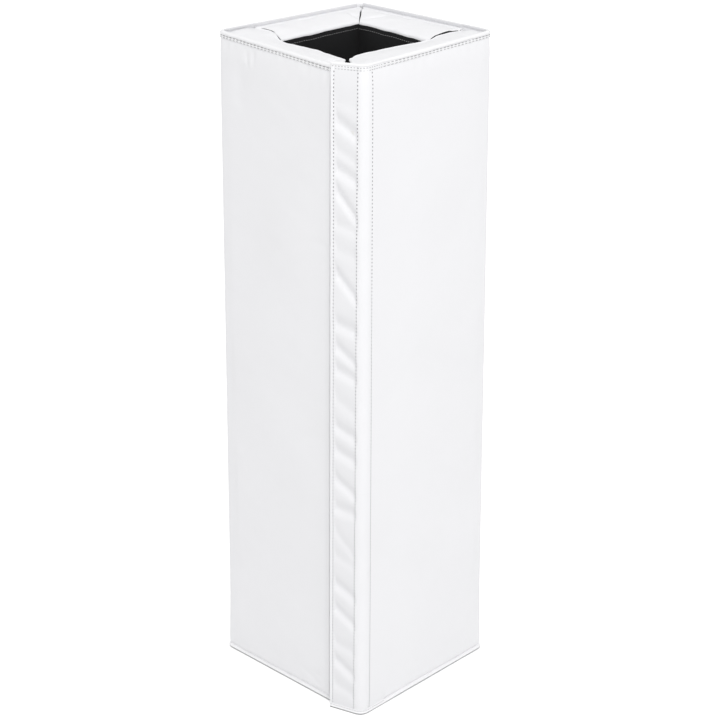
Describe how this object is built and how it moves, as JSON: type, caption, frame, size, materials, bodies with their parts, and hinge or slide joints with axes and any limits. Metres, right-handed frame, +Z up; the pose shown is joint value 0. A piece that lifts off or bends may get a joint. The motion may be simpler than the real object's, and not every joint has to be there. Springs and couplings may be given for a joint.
{
  "type": "column protector pad",
  "caption": "Tall square foam pad in white vinyl that wraps a square column, with bound edges, hinged corners and a hook and loop closing flap.",
  "frame": {"origin": "centre of the column opening at floor level, on the axis of the column", "axes": "+Z up along the column, +X to the right panel, -Y to the front panel; the flap closes the corner between the front panel and the left panel"},
  "size_m": [0.2991, 0.2944, 1.067],
  "materials": {
    "white_vinyl": "smooth coated vinyl with a fine grain and a satin sheen",
    "white_binding": "folded vinyl tape, satin, sewn with two rows",
    "black_lining": "matt woven lining",
    "foam": "closed-cell foam",
    "hook_tape": "woven tape with nylon hooks",
    "loop_tape": "brushed loop pile"
  },
  "bodies": {
    "back_panel": {"back_foam_core": "foam", "back_face_cover": "white_vinyl", "back_lining": "black_lining", "back_top_cap": "white_vinyl", "back_bottom_cap": "white_vinyl", "back_top_binding": "white_binding", "back_bottom_binding": "white_binding", "back_left_fold": "white_vinyl", "back_left_top_binding": "white_binding", "back_left_bottom_binding": "white_binding", "back_right_fold": "white_vinyl", "back_right_top_binding": "white_binding", "back_right_bottom_binding": "white_binding"},
    "left_panel": {"left_foam_core": "foam", "left_face_cover": "white_vinyl", "left_lining": "black_lining", "left_top_cap": "white_vinyl", "left_bottom_cap": "white_vinyl", "left_top_binding": "white_binding", "left_bottom_binding": "white_binding", "loop_tab": "white_vinyl", "loop_tape": "loop_tape"},
    "right_panel": {"right_foam_core": "foam", "right_face_cover": "white_vinyl", "right_lining": "black_lining", "right_top_cap": "white_vinyl", "right_bottom_cap": "white_vinyl", "right_top_binding": "white_binding", "right_bottom_binding": "white_binding", "front_right_fold": "white_vinyl", "front_right_top_binding": "white_binding", "front_right_bottom_binding": "white_binding"},
    "front_panel": {"front_foam_core": "foam", "front_face_cover": "white_vinyl", "front_lining": "black_lining", "front_top_cap": "white_vinyl", "front_bottom_cap": "white_vinyl", "front_top_binding": "white_binding", "front_bottom_binding": "white_binding", "flap_fold": "white_vinyl"},
    "closing_flap": {"flap_cover": "white_vinyl", "flap_top_binding": "white_binding", "flap_bottom_binding": "white_binding", "hook_tape": "hook_tape"}
  },
  "joints": [
    {"name": "back_left_hinge", "type": "hinge", "parent": "back_panel", "child": "left_panel", "pos_m": [-0.1372, 0.1372, 0], "axis": [0, 0, -1], "range_deg": [0, 90], "deforming": ["back_left_fold", "back_left_top_binding", "back_left_bottom_binding", "loop_tab", "loop_tape"]},
    {"name": "back_right_hinge", "type": "hinge", "parent": "back_panel", "child": "right_panel", "pos_m": [0.1372, 0.1372, 0], "axis": [0, 0, 1], "range_deg": [0, 90], "deforming": ["back_right_fold", "back_right_top_binding", "back_right_bottom_binding"]},
    {"name": "front_right_hinge", "type": "hinge", "parent": "right_panel", "child": "front_panel", "pos_m": [0.1372, -0.1372, 0], "axis": [0, 0, 1], "range_deg": [0, 90], "deforming": ["front_right_fold", "front_right_top_binding", "front_right_bottom_binding"]},
    {"name": "flap_hinge", "type": "hinge", "parent": "front_panel", "child": "closing_flap", "pos_m": [-0.1062, -0.1466, 0], "axis": [0, 0, 1], "range_deg": [0, 150], "deforming": ["flap_fold"]}
  ]
}
